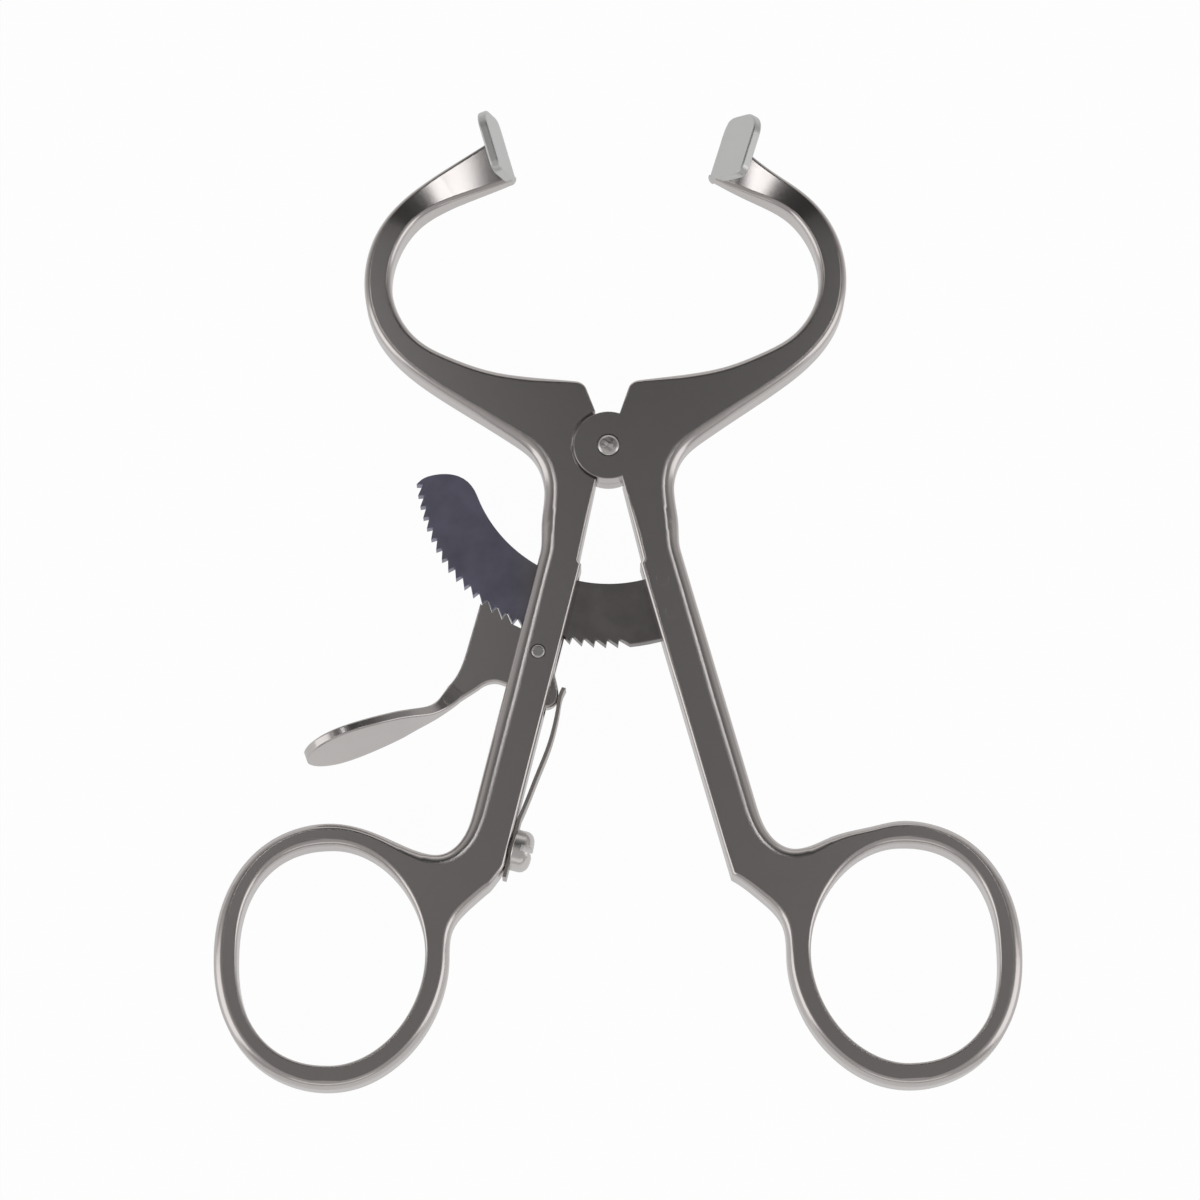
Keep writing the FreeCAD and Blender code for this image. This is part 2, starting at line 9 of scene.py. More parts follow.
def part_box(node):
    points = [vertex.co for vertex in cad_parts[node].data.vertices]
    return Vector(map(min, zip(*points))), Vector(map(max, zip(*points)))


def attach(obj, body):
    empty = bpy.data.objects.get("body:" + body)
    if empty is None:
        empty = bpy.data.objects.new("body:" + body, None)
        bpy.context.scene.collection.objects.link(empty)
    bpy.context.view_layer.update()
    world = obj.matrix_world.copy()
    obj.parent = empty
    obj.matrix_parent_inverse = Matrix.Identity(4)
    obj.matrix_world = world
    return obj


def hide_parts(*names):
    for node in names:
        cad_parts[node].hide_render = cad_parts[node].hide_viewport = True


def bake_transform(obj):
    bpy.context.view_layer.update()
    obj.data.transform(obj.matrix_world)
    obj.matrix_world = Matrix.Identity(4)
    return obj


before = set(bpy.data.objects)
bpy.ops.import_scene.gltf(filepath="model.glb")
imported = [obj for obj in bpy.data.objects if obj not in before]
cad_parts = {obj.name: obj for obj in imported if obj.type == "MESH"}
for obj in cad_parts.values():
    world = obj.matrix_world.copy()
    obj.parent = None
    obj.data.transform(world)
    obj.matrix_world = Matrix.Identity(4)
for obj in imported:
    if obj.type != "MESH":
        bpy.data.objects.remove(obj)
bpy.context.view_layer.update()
scene = bpy.context.scene

# Shapes are drawn in millimetres round the pivot, then moved to the object's frame in metres
pinLow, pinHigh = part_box("main_pivot_pin")
pivot = (pinLow + pinHigh) / 2
toMetres = Matrix.Translation(pivot) @ Matrix.Scale(0.001, 4)

boxFaces = [(0, 3, 2, 1), (4, 5, 6, 7), (0, 1, 5, 4), (1, 2, 6, 5), (2, 3, 7, 6), (3, 0, 4, 7)]
smoothing = {"sharpAngle": 32, "normalWeight": 90}


# Points turned about the pivot
def turned(points, degrees):
    c, s = math.cos(math.radians(degrees)), math.sin(math.radians(degrees))
    p = np.array(points, float)
    q = p.copy()
    q[:, 0] = p[:, 0] * c - p[:, 1] * s
    q[:, 1] = p[:, 0] * s + p[:, 1] * c
    return q


# A point round the pivot: 0 degrees is straight below it, 90 to its left
def polar(radius, degrees):
    a = math.radians(degrees)
    return (-radius * math.sin(a), -radius * math.cos(a))


# The direction from one point to another
def aim(a, b):
    d = np.array(b, float) - np.array(a, float)
    return d / np.linalg.norm(d)


# Points along a smooth curve through the given ones, the same number in every span
def spline(points, start=None, end=None, steps=6):
    p = np.array(points, float)
    n = len(p)
    h = np.linalg.norm(np.diff(p, axis=0), axis=1)
    system, right = np.zeros((n, n)), np.zeros((n, p.shape[1]))
    for i in range(1, n - 1):
        system[i, i - 1:i + 2] = h[i], 2 * (h[i - 1] + h[i]), h[i - 1]
        right[i] = 3 * (h[i] / h[i - 1] * (p[i] - p[i - 1]) + h[i - 1] / h[i] * (p[i + 1] - p[i]))
    for row, other, tangent, span in ((0, 1, start, 0), (n - 1, n - 2, end, n - 2)):
        system[row, row] = 1
        if tangent is None:
            system[row, other] = 1
            right[row] = 2 * (p[span + 1] - p[span]) / h[span]
        else:
            right[row] = tangent
    slope = np.linalg.solve(system, right)
    out = []
    for i in range(n - 1):
        for t in np.arange(steps) / steps:
            a, b = 2 * t ** 3 - 3 * t * t + 1, t ** 3 - 2 * t * t + t
            c, d = 3 * t * t - 2 * t ** 3, t ** 3 - t * t
            out.append(a * p[i] + b * h[i] * slope[i] + c * p[i + 1] + d * h[i] * slope[i + 1])
    out.append(p[-1])
    return np.array(out)


def straight(a, b, count):
    a, b = np.array(a, float), np.array(b, float)
    return np.array([a + (b - a) * i / count for i in range(count + 1)])


# A polygon with each corner rounded to its own radius
def rounded(corners, radii, steps=8):
    out = []
    n = len(corners)
    for i, r in enumerate(radii):
        c = np.array(corners[i], float)
        back, ahead = aim(c, corners[i - 1]), aim(c, corners[(i + 1) % n])
        halfTurn = math.acos(float(np.clip(back @ ahead, -1, 1))) / 2
        middle = (back + ahead) / np.linalg.norm(back + ahead)
        centre = c + middle * r / math.sin(halfTurn)
        a = c + back * r / math.tan(halfTurn) - centre
        sweep = math.pi - 2 * halfTurn
        way = 1 if a[1] * back[0] - a[0] * back[1] > 0 else -1
        for k in range(steps + 1):
            t = way * sweep * k / steps
            out.append(centre + [a[0] * math.cos(t) - a[1] * math.sin(t),
                                 a[0] * math.sin(t) + a[1] * math.cos(t)])
    return np.array(out)


def circle(radius, count=64):
    angles = [2 * math.pi * i / count for i in range(count)]
    return np.array([(radius * math.cos(a), radius * math.sin(a)) for a in angles])


# Positive for a loop that runs anticlockwise
def area(loop):
    x, y = loop[:, 0], loop[:, 1]
    return 0.5 * float(np.sum(x * np.roll(y, -1) - np.roll(x, -1) * y))


def each(value, count):
    return np.broadcast_to(np.array(value, float), (count,)).copy()


# Faces between rings of n points that follow one another, the first point being number base
def bands(base, n, ringCount):
    return [(base + k * n + i, base + k * n + (i + 1) % n,
             base + (k + 1) * n + (i + 1) % n, base + (k + 1) * n + i)
            for k in range(ringCount - 1) for i in range(n)]


# The rings of a rounded edge, from the low face round the side to the high face
def edgeRings(loop, bevel, depth, under, low, high, steps):
    before, after = loop - np.roll(loop, 1, 0), np.roll(loop, -1, 0) - loop
    before /= np.linalg.norm(before, axis=1)[:, None] + 1e-12
    after /= np.linalg.norm(after, axis=1)[:, None] + 1e-12
    way = before + after
    way /= np.linalg.norm(way, axis=1)[:, None] + 1e-12
    inward = np.stack([-way[:, 1], way[:, 0]], 1)
    stretch = 1 / np.clip((before * way).sum(1), 0.5, 1)
    angles = [math.pi / 2 * k / steps for k in range(steps + 1)]
    reaches = [((1 - math.sin(a)) * bevel * under, low + depth * under * (1 - math.cos(a))) for a in angles]
    reaches += [((1 - math.sin(a)) * bevel, high - depth * (1 - math.cos(a))) for a in angles[::-1]]
    return [(loop + inward * (stretch * reach)[:, None], z) for reach, z in reaches]


# A grid between the two sides of a bar: the first points of a face's loop and its last ones
def barGrid(vertices, faces, loop, pairs, across):
    n = len(loop)
    rows = []
    for i in range(pairs):
        a, b = loop[i], loop[n - 1 - i]
        row = [a]
        for m in range(1, across):
            vertices.append(tuple(np.array(vertices[a]) * (1 - m / across)
                                  + np.array(vertices[b]) * m / across))
            row.append(len(vertices) - 1)
        rows.append(row + [b])
    for r, s in zip(rows, rows[1:]):
        for m in range(across):
            faces.append((r[m], r[m + 1], s[m + 1], s[m]))
    return loop[pairs - 1:n - pairs + 1] + rows[-1][1:-1][::-1]


# A plate with rounded edges. Bevel and depth are how far the rounding reaches over the face and
# down the side, one value or one for each point; under scales both on the low face. The first and
# last points of the outline, as many as pairs says, face each other over a bar, and its faces get
# a grid. Rise and thin lift the bar and scale its thickness there.
def slab(outline, bevel, depth, low, high, holes=(), pairs=0, across=4, steps=6,
         under=1.0, rise=0.0, thin=1.0):
    vertices, faces, capLoops = [], [], []
    loops = [(outline, bevel, depth, under, rise, thin)] + [(*h, 1.0, 0.0, 1.0) for h in holes]
    for number, (loop, *values) in enumerate(loops):
        loop = np.array(loop, float)
        w, d, u, lift, scale = [each(v, len(loop)) for v in values]
        if (area(loop) > 0) == (number > 0):
            loop, w, d, u, lift, scale = [a[::-1] for a in (loop, w, d, u, lift, scale)]
        rings = edgeRings(loop, w, d, u, low, high, steps)
        n, base = len(loop), len(vertices)
        for flat, z in rings:
            vertices += [(x, y, c) for (x, y), c in zip(flat, lift + z * scale)]
        faces += bands(base, n, len(rings))
        capLoops.append((base, base + (len(rings) - 1) * n, n))
    for isFront in (0, 1):
        loops = [[start[isFront] + i for i in range(start[2])] for start in capLoops]
        if pairs:
            loops[0] = barGrid(vertices, faces, loops[0], pairs, across)
        flatLoops = [[Vector(vertices[i]) for i in loop] for loop in loops]
        order = [i for loop in loops for i in loop]
        faces += [tuple(order[i] for i in tri) for tri in tessellate_polygon(flatLoops)]
    return np.array(vertices, float), faces


# One object from (vertices, faces, material number) lists given in millimetres round the pivot
def piece(name, parts, materials=(), mirror=False, turn=0.0):
    bm = bmesh.new()
    for vertices, faces, number in parts:
        v = np.array(vertices, float)
        if turn:
            v = turned(v, turn)
        if mirror:
            v = v * [-1, 1, 1]
        made = [bm.verts.new(p) for p in v]
        for f in faces:
            if len(set(f)) > 2:
                bm.faces.new([made[i] for i in f]).material_index = number
    bmesh.ops.remove_doubles(bm, verts=bm.verts, dist=1e-4)
    bmesh.ops.recalc_face_normals(bm, faces=bm.faces)
    mesh = bpy.data.meshes.new(name)
    bm.to_mesh(mesh)
    bm.free()
    for m in materials:
        mesh.materials.append(m)
    obj = bpy.data.objects.new(name, mesh)
    scene.collection.objects.link(obj)
    return obj


# The modifiers' result becomes the object's own mesh
def settle(obj):
    made = bpy.data.meshes.new_from_object(obj.evaluated_get(bpy.context.evaluated_depsgraph_get()))
    obj.modifiers.clear()
    obj.data = made


# Takes the cutters' shapes out of the object and removes them
def cut(obj, cutters):
    for c in cutters:
        m = obj.modifiers.new("cut", "BOOLEAN")
        m.operation, m.solver, m.object = "DIFFERENCE", "EXACT", c
    settle(obj)
    for c in cutters:
        bpy.data.objects.remove(c)


def join(obj, other):
    both = [obj, other]
    with bpy.context.temp_override(active_object=obj, object=obj, selected_objects=both,
                                   selected_editable_objects=both):
        bpy.ops.object.join()


# Smooth shading, the place in the object's frame, and the CAD node that the piece stands for
def finished(obj, node, body):
    obj.data.shade_smooth()
    obj.data.set_sharp_from_angle(angle=math.radians(smoothing["sharpAngle"]))
    m = obj.modifiers.new("normals", "WEIGHTED_NORMAL")
    m.mode, m.keep_sharp, m.weight = "FACE_AREA", True, smoothing["normalWeight"]
    settle(obj)
    obj.data.transform(toMetres)
    if body:
        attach(obj, body)
    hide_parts(node)
    return obj


# A box that cuts
def block(x0, x1, y0, y1, z0, z1):
    v = [(x, y, z) for z in (z0, z1) for x, y in ((x0, y0), (x1, y0), (x1, y1), (x0, y1))]
    return piece("cutter", [(v, boxFaces, 0)])


# A plate that cuts, with its edges sharp
def sharpPlate(loop, low, high):
    v, f = slab(loop, 0.001, 0.001, low, high, steps=1)
    return piece("cutter", [(v, f, 0)])


def drum(radius, low, high, x=0.0, y=0.0, count=96):
    return sharpPlate(circle(radius, count) + [x, y], low, high)


class Value:  # an output of a node, which can be used in ordinary arithmetic

    def __init__(self, graph, node, output=0):
        self.graph, self.node, self.output = graph, node, output

    def __getitem__(self, output):
        return Value(self.graph, self.node, output)

    def __add__(self, other):
        return self.graph.math("ADD", self, other)

    def __radd__(self, other):
        return self.graph.math("ADD", other, self)

    def __sub__(self, other):
        return self.graph.math("SUBTRACT", self, other)

    def __rsub__(self, other):
        return self.graph.math("SUBTRACT", other, self)

    def __mul__(self, other):
        return self.graph.math("MULTIPLY", self, other)

    def __rmul__(self, other):
        return self.graph.math("MULTIPLY", other, self)


class Graph:  # a node tree, to which add gives a node of a type, with its settings and its inputs

    def __init__(self, tree):
        self.tree = tree

    def add(self, kind, settings={}, inputs={}):
        node = self.tree.nodes.new(kind)
        for name, value in settings.items():
            setattr(node, name, value)
        self.feed(node, inputs)
        return Value(self, node)

    def feed(self, node, inputs):
        for name, given in inputs.items():
            for value in given if isinstance(given, list) else [given]:
                if isinstance(value, Value):
                    self.tree.links.new(value.node.outputs[value.output], node.inputs[name])
                else:
                    node.inputs[name].default_value = value

    def math(self, operation, *values):
        return self.add("ShaderNodeMath", {"operation": operation}, dict(enumerate(values)))

    def ramp(self, value, low, high, toLow=0.0, toHigh=1.0, smooth=False):
        kind = {"interpolation_type": "SMOOTHSTEP"} if smooth else {}
        return self.add("ShaderNodeMapRange", kind, {"Value": value, "From Min": low, "From Max": high,
                                                     "To Min": toLow, "To Max": toHigh})


# Geometry Nodes: copies of one object join the mesh, in a row or where place puts them. The sizes
# are the tree's named inputs: a count, and the row's step or what place works from.
def repeat(obj, single, material, sizes, place=None):
    tree = bpy.data.node_groups.new("repeat", "GeometryNodeTree")
    graph = Graph(tree)
    kinds = {int: "NodeSocketInt", float: "NodeSocketFloat", tuple: "NodeSocketVector"}
    for way in ("INPUT", "OUTPUT"):
        tree.interface.new_socket("Geometry", in_out=way, socket_type="NodeSocketGeometry")
    keys = {name: tree.interface.new_socket(name, in_out="INPUT", socket_type=kinds[type(value)]).identifier
            for name, value in sizes.items()}
    given = graph.add("NodeGroupInput")
    if place:
        x, y, angle = place(graph.add("GeometryNodeInputIndex"), given)
        spots = graph.add("GeometryNodeMeshLine", {}, {"Count": given["count"]})
        shift = graph.add("ShaderNodeCombineXYZ", {}, {"X": x, "Y": y})
        spots = graph.add("GeometryNodeSetPosition", {}, {"Geometry": spots, "Position": shift})
        turn = graph.add("ShaderNodeCombineXYZ", {}, {"Z": angle})
    else:
        spots = graph.add("GeometryNodeMeshLine", {}, {"Count": given["count"], "Offset": given["step"]})
        turn = (0, 0, 0)
    copied = graph.add("GeometryNodeObjectInfo", {}, {"Object": single})["Geometry"]
    copies = graph.add("GeometryNodeInstanceOnPoints", {},
                       {"Points": spots, "Instance": copied, "Rotation": turn})
    real = graph.add("GeometryNodeRealizeInstances", {}, {"Geometry": copies})
    joined = graph.add("GeometryNodeJoinGeometry", {}, {"Geometry": [given["Geometry"], real]})
    painted = graph.add("GeometryNodeSetMaterial", {}, {"Geometry": joined, "Material": material})
    graph.add("NodeGroupOutput", {}, {"Geometry": painted})
    modifier = obj.modifiers.new("repeat", "NODES")
    modifier.node_group = tree
    for name, value in sizes.items():
        modifier[keys[name]] = value
    settle(obj)
    bpy.data.objects.remove(single)


print("stage: materials")

finish = {
    "grain": (2600, 2),               # noise scale and detail of the brushed grain
    "clouds": (260, 4),               # the same of the slow drift of colour
    "roughSpread": 0.012,             # how far the grain takes the roughness up and down
    "polishSpan": (0.029, 0.036),     # metres above the pivot, over which the bent tips get their shine
    "blueSpan": (-0.0085, -0.0145),   # metres across from the pivot, over which the heat colour sets in
}


# Finely brushed steel: colour and roughness drift a little with place. Polish scales the roughness
# of the bent tips, and blued is the heat colour of the rack's free end.
def steel(name, colour, rough, tint=0.02, blued=None, polish=None):
    material = bpy.data.materials.new(name)
    material.use_nodes = True
    graph = Graph(material.node_tree)
    place = graph.add("ShaderNodeTexCoord")["Object"]
    noises = [graph.add("ShaderNodeTexNoise", {}, {"Vector": place, "Scale": scale, "Detail": detail})["Fac"]
              for scale, detail in (finish["grain"], finish["clouds"])]
    spread = finish["roughSpread"]
    roughness = graph.ramp(noises[0], 0.0, 1.0, rough - spread, rough + spread)
    if polish:
        low, high = [pivot.y + y for y in finish["polishSpan"]]
        spot = graph.add("ShaderNodeSeparateXYZ", {}, {0: place})["Y"]
        roughness = graph.ramp(spot, low, high, 1.0, polish, smooth=True) * roughness
    paler = (*[min(1, c * (1 + tint)) for c in colour], 1)
    deeper = (*[c * (1 - tint) for c in colour], 1)
    shade = graph.add("ShaderNodeMix", {"data_type": "RGBA"},
                      {"Factor": noises[1], "A": deeper, "B": paler})["Result"]
    if blued:
        low, high = [pivot.x + x for x in finish["blueSpan"]]
        spot = graph.add("ShaderNodeSeparateXYZ", {}, {0: place})["X"]
        part = graph.ramp(spot, low, high, smooth=True)
        shade = graph.add("ShaderNodeMix", {"data_type": "RGBA", "blend_type": "MULTIPLY"},
                          {"Factor": part, "A": shade, "B": (*blued, 1)})["Result"]
    graph.feed(material.node_tree.nodes["Principled BSDF"],
               {"Metallic": 1, "Roughness": roughness, "Base Color": shade})
    return material


satin = steel("satinSteel", (0.58, 0.55, 0.54), 0.22, polish=0.78)
# The pads get a paler copy of the arms' steel: painted sheen, standing in for the side lamps' bright
# reflection in the pad faces. It is rougher too.
padSteelPaintedSheen = steel("padSteelPaintedSheen", (0.62, 0.63, 0.62), 0.36)
bright = steel("brightSteel", (0.68, 0.66, 0.65), 0.26)
dark = steel("darkSteel", (0.25, 0.235, 0.232), 0.32, tint=0.35, blued=(0.95, 1.0, 1.35))
springSteel = steel("springSteel", (0.46, 0.43, 0.41), 0.3)

# The rack and the pins come first, because the arms' slot and bores follow them. Angles in degrees.
rack = {
    "thickness": 1.9,
    "inner": 19.5,
    "tip": 28.3,
    "tooth": 1.05,
    "pitch": 3.4,
    "flank": 0.4,        # angle that a tooth's steep side leans by
    "first": -6.05,      # the first tip
    "count": 26,
    "root": -25.5,       # where the band ends in the right shank
    "even": 52.0,        # past it the teeth stand lower and lower
    "fall": 0.04,        # for each degree
    "pastLast": 1.2,
    "end": 3.6,          # how far the rounded end reaches along the inside
    # points of the rounded end: share of the band's width, angle past the end
    "endCurve": ((0.74, 0.4), (0.57, 0.9), (0.365, 0.5), (0.195, -1.1)),
    "edge": 0.12,
    "toothEdge": (0.04, 0.05),
}
pins = {
    "pivot": 1.5,
    "pivotBore": 1.6,
    "pivotStands": 0.3,            # out of the arm's face
    "pivotDome": (1.35, 0.4),      # how far the rounding reaches over the end, and down the side
    "hammered": 0.04,
    "pawl": 1.0,
    "pawlBore": 1.03,
    "pawlRound": (0.34, 0.3),
    "pawlClearance": 1.775,        # from the teeth to the pin
    "pawlAngle": 18.21,
    "rivet": 0.9,
    "rivetRound": (0.03, 0.01),
    "rivetStands": 0.002,
    "rivetSpots": (20.6, 25.4),    # along the shank
    "rivetInward": 0.12,           # share of the shank's width
}
pawlPin = polar(rack["tip"] + pins["pawlClearance"] + pins["pawl"], pins["pawlAngle"])

print("stage: arms")

past = 4.0   # how far a cutter reaches past a face
arm = {
    "thickness": 5.2,
    # middle of the jaw from the hub out, and its width at each point
    "jawRun": ((12.2, 5.8), (17.6, 7.9), (23.5, 10.85), (27.5, 13.55), (30.8, 17.6), (32.4, 23.8),
               (31.1, 30.1), (27.7, 34.8)),
    "jawWidths": (9.1, 6.6, 5.0, 4.2, 4.0, 3.8, 3.85, 3.8),
    "tipMiddle": (22.7, 38.0),
    "tipWidths": (4.7, 7.0),
    "tipThickness": 2.2,
    "tipRise": 2.9,
    "risePower": 2.3,
    "thinPower": 1.4,
    "cheek": ((10.4, -1.4), (8.9, -6.2), (9.3, -11.3)),
    "shankLean": 13.8,
    "shankOffset": 2.6,
    "shankWidth": 6.0,
    "shankTop": 17.0,
    "shankFoot": 54.0,
    "crotch": ((1.9, -4.8), (4.4, -6.6), (7.1, -6.4), (10.2, -5.2)),   # from the shank's foot
    "heel": 9.0,
    "heelRun": ((6.6, -6.6), (3.6, -2.9), (0.0, 0.0)),                 # from the heel
    "heelWay": (-0.85, 0.5),
    "softHeel": (0.55, 0.25),
    "softHeelRise": 2.2,
    "step": 0.5,
    "hub": 4.9,
    "hubGap": 0.4,
    "lapGap": 0.03,
    "notchLean": 20.4,
    "notchReach": 9.9,
    "cornerReach": 1.1,
    "ringFromFoot": (22.194, -19.979),
    "hole": (12.75, 15.1),
    "bar": 3.2,
    # how square the ring is: its outside, its hole, and both on the shank's side
    "ringPowers": (2.15, 2.3, 1.9),
    "rightTurn": 2.0,
    "rightDrop": 1.0,
    # rounding of the edges along each run: reach over the face, then depth down the side
    "jawRound": ((0.45, 0.6, 0.8, 0.9, 0.9, 1.0, 1.3), (0.45, 0.8, 0.9, 0.9, 1.0)),
    "cheekRound": ((1.3, 1.9, 1.95, 2.0), (1.0, 1.4, 1.5)),
    "shankRound": ((2.0, 2.2, 2.1), 1.6),
    "ringRound": ((2.1, 1.7, 1.0, 0.95, 1.15, 1.35, 1.4, 1.25, 1.0, 0.95, 1.0, 1.0), (1.6, 1.3, 1.3)),
    "rightHeelRound": ((1.0, 0.8, 0.5), (1.3, 0.6)),
    "leftHeelRound": ((1.0, 0.7), (1.3, 0.7)),
    "softHeelRound": ((0.6, 0.4), 0.5),
    "innerBevel": {"right": 0.62, "left": 0.35},
    "innerDepth": 0.5,
    "hubRound": 0.12,
    "cornerRound": (0.3, 0.5),
    "innerJawRound": (0.5, 0.9),
    "innerTipRound": ((0.9, 0.7), (0.9, 0.8)),
    "holeRound": (0.4, 0.5),       # reach and depth at the bottom of the hole
    "holeSoft": 0.5,               # what the top of the hole gets more of each
    "slot": {"from": 19.0, "to": 39.2, "angles": (-8, 45), "half": 1.2},
}
pads = {
    "left": {"place": (13.6, 43.55), "turn": 16.0, "lean": 16.0},
    "right": {"place": (16.3, 43.4), "turn": 19.0, "lean": 33.0},
    "width": 9.7,
    "depth": 8.8,
    "thickness": 1.3,
    "corners": (0.3, 2.6, 3.2, 1.5),
    "edge": (0.22, 0.3),           # rounding over the face and down the side
    "foot": (0.88, 0.8),           # what the bent foot gets more of each
    "footHeight": 1.2,
    "sink": 0.5,
    "overhang": 1.45,
    "pitch": 1.1,
    "ridges": 3,
    "firstRidge": 3.9,
    "ridgeHalf": 4.1,
    "ridgeSection": ((-0.4, 0.03), (0.4, 0.03), (0.16, -0.2), (-0.16, -0.2)),
    "trim": ((-9, -7), (9, -7), (9, 8), (-9, 8)),   # the block past the pad, along it and up it
    "trimDepth": 6,
    "trimBite": 0.05,
}


# A point of the shank: how far down it, and how far from its middle towards the other arm
def onShank(along, inward=0.0):
    a = math.radians(arm["shankLean"])
    off = inward - arm["shankOffset"]
    return np.array([math.sin(a) * along - math.cos(a) * off, -math.cos(a) * along - math.sin(a) * off])


def ringPoint(grow, degrees, drop):
    c, s = math.cos(math.radians(degrees)), math.sin(math.radians(degrees))
    outside, hole, near = arm["ringPowers"]
    power = 2 / ((outside if grow else hole) if c > 0 else near)
    middle = onShank(arm["shankFoot"]) + arm["ringFromFoot"]
    return (middle[0] + (arm["hole"][0] + grow) * math.copysign(abs(c) ** power, c),
            middle[1] + (arm["hole"][1] + grow) * math.copysign(abs(s) ** power, s) - drop)


# Directions along the pad, up it and through it, and the foot of its outer face
def padFrame(spec):
    t, l = math.radians(spec["turn"]), math.radians(spec["lean"])
    side = np.array([math.sin(t), math.cos(t), 0])
    up = np.array([math.cos(t) * math.sin(l), -math.sin(t) * math.sin(l), math.cos(l)])
    inward = -np.cross(side, up)
    foot = np.array([*spec["place"], arm["tipRise"] - arm["tipThickness"] / 2])
    return side, up, inward, foot - inward * (pads["thickness"] + pads["sink"])


# Outer and inner edge of the jaw, from the hub to the pad
def jawSides(spec):
    turn = math.radians(spec["turn"])
    end = (spec["place"][0] + math.cos(turn) * pads["thickness"] - math.sin(turn) * pads["overhang"],
           spec["place"][1] - math.sin(turn) * pads["thickness"] - math.cos(turn) * pads["overhang"])
    run = [*arm["jawRun"], arm["tipMiddle"], end]
    outer, inner = [], []
    for i, width in enumerate(arm["jawWidths"] + arm["tipWidths"]):
        way = aim(run[max(i - 1, 0)], run[min(i + 1, len(run) - 1)])
        if i == len(run) - 1:
            way = np.array([-math.cos(turn), math.sin(turn)])
        normal = np.array([way[1], -way[0]])
        outer.append(np.array(run[i]) + normal * width / 2)
        inner.append(np.array(run[i]) - normal * width / 2)
    return outer, inner


# Adds outline points with their rounding; several values are spread evenly along the points
def addRun(rows, points, bevel, depth, skip=1):
    points = points[skip:]
    share = np.linspace(0, 1, len(points))
    bevels, depths = [np.interp(share, np.linspace(0, 1, len(v)), v) if isinstance(v, tuple)
                      else each(v, len(points)) for v in (bevel, depth)]
    rows.extend([p[0], p[1], b, d] for p, b, d in zip(points, bevels, depths))


# From the jaw's tip down the outside, round the ring and up to the heel
def outsideRows(rows, side, outer, steps):
    halfShank = arm["shankWidth"] / 2
    down = aim(onShank(0), onShank(1))
    neckTop, foot = onShank(arm["shankTop"], -halfShank), onShank(arm["shankFoot"], -halfShank)
    heelPlace = arm["shankFoot"] + arm["heel"]
    heel = onShank(heelPlace, halfShank)
    outside = spline(outer[::-1] + list(arm["cheek"]) + [neckTop], aim(outer[-1], outer[-2]), down, steps)
    jawPoints = (len(outer) - 1) * steps + 1
    addRun(rows, outside[:jawPoints], *arm["jawRound"], skip=0)
    addRun(rows, outside[jawPoints - 1:], *arm["cheekRound"])
    addRun(rows, straight(neckTop, foot, 12), *arm["shankRound"])
    drop = arm["rightDrop"] if side == "right" else 0
    rim = [ringPoint(arm["bar"], a, drop) for a in range(105, -181, -15)]
    addRun(rows, spline([foot] + [foot + c for c in arm["crotch"]] + rim, down, (0, 1), 5), *arm["ringRound"])
    heelCurve = spline([rim[-1]] + [heel + h for h in arm["heelRun"]], (0, 1), arm["heelWay"], 6)
    if side == "right":
        addRun(rows, heelCurve, *arm["rightHeelRound"])
        return
    addRun(rows, heelCurve[:-3], *arm["leftHeelRound"])
    softEnd = onShank(heelPlace - arm["softHeelRise"], halfShank)
    softStart = aim(heelCurve[-5], heelCurve[-4])
    soft = spline([heelCurve[-4], heel + arm["softHeel"], softEnd], softStart, -down, 6)
    addRun(rows, soft, *arm["softHeelRound"])


# Up the inside of the shank, round the hub and out along the inside of the jaw
def insideRows(rows, side, inner, steps):
    bevel, depth, hub = arm["innerBevel"][side], arm["innerDepth"], arm["hub"]
    stepLow = onShank(arm["shankTop"] + arm["step"], arm["shankWidth"] / 2)
    stepHigh = onShank(arm["shankTop"], arm["shankWidth"] / 2 - arm["step"])
    addRun(rows, straight(rows[-1][:2], stepLow, 12), (0.4, bevel), depth)
    addRun(rows, straight(stepLow, stepHigh, 1), bevel, depth)
    lean = math.radians(arm["notchLean"])
    notch = np.array([math.sin(lean), math.cos(lean)])
    hubLow, hubHigh, corner = np.array(polar(hub, -arm["notchLean"])), notch * hub, notch * arm["notchReach"]
    addRun(rows, straight(stepHigh, hubLow, 6), (bevel, bevel, 0.3, arm["hubRound"]),
           (depth, 0.4, 0.2, arm["hubRound"]))
    start, sweep, hubSteps = math.atan2(hubLow[1], hubLow[0]), -(math.pi + 2 * lean), 32
    for i in range(1, hubSteps + 1):
        a = start + sweep * i / hubSteps
        rows.append([hub * math.cos(a), hub * math.sin(a), arm["hubRound"], arm["hubRound"]])
    along, back = aim(corner, inner[0]), aim(corner, hubHigh)
    far = 5
    radius = arm["cornerReach"] * math.tan(math.acos(float(back @ along)) / 2)
    square = [corner, corner + along * far, corner + back * far + along * far, corner + back * far]
    cornerLoop = rounded(square, [radius] + [0.01] * 3, 6)[:7]
    if np.linalg.norm(cornerLoop[0] - hubHigh) > np.linalg.norm(cornerLoop[-1] - hubHigh):
        cornerLoop = cornerLoop[::-1]
    toCorner = (0.15, arm["cornerRound"][0])
    addRun(rows, straight(hubHigh, cornerLoop[0], 3), toCorner, toCorner)
    addRun(rows, cornerLoop, arm["cornerRound"], arm["cornerRound"])
    inside = spline([cornerLoop[-1]] + inner, along, aim(inner[-2], inner[-1]), steps)
    addRun(rows, inside[:steps + 1], arm["innerJawRound"], arm["innerJawRound"])
    addRun(rows, inside[steps:], *arm["innerTipRound"])


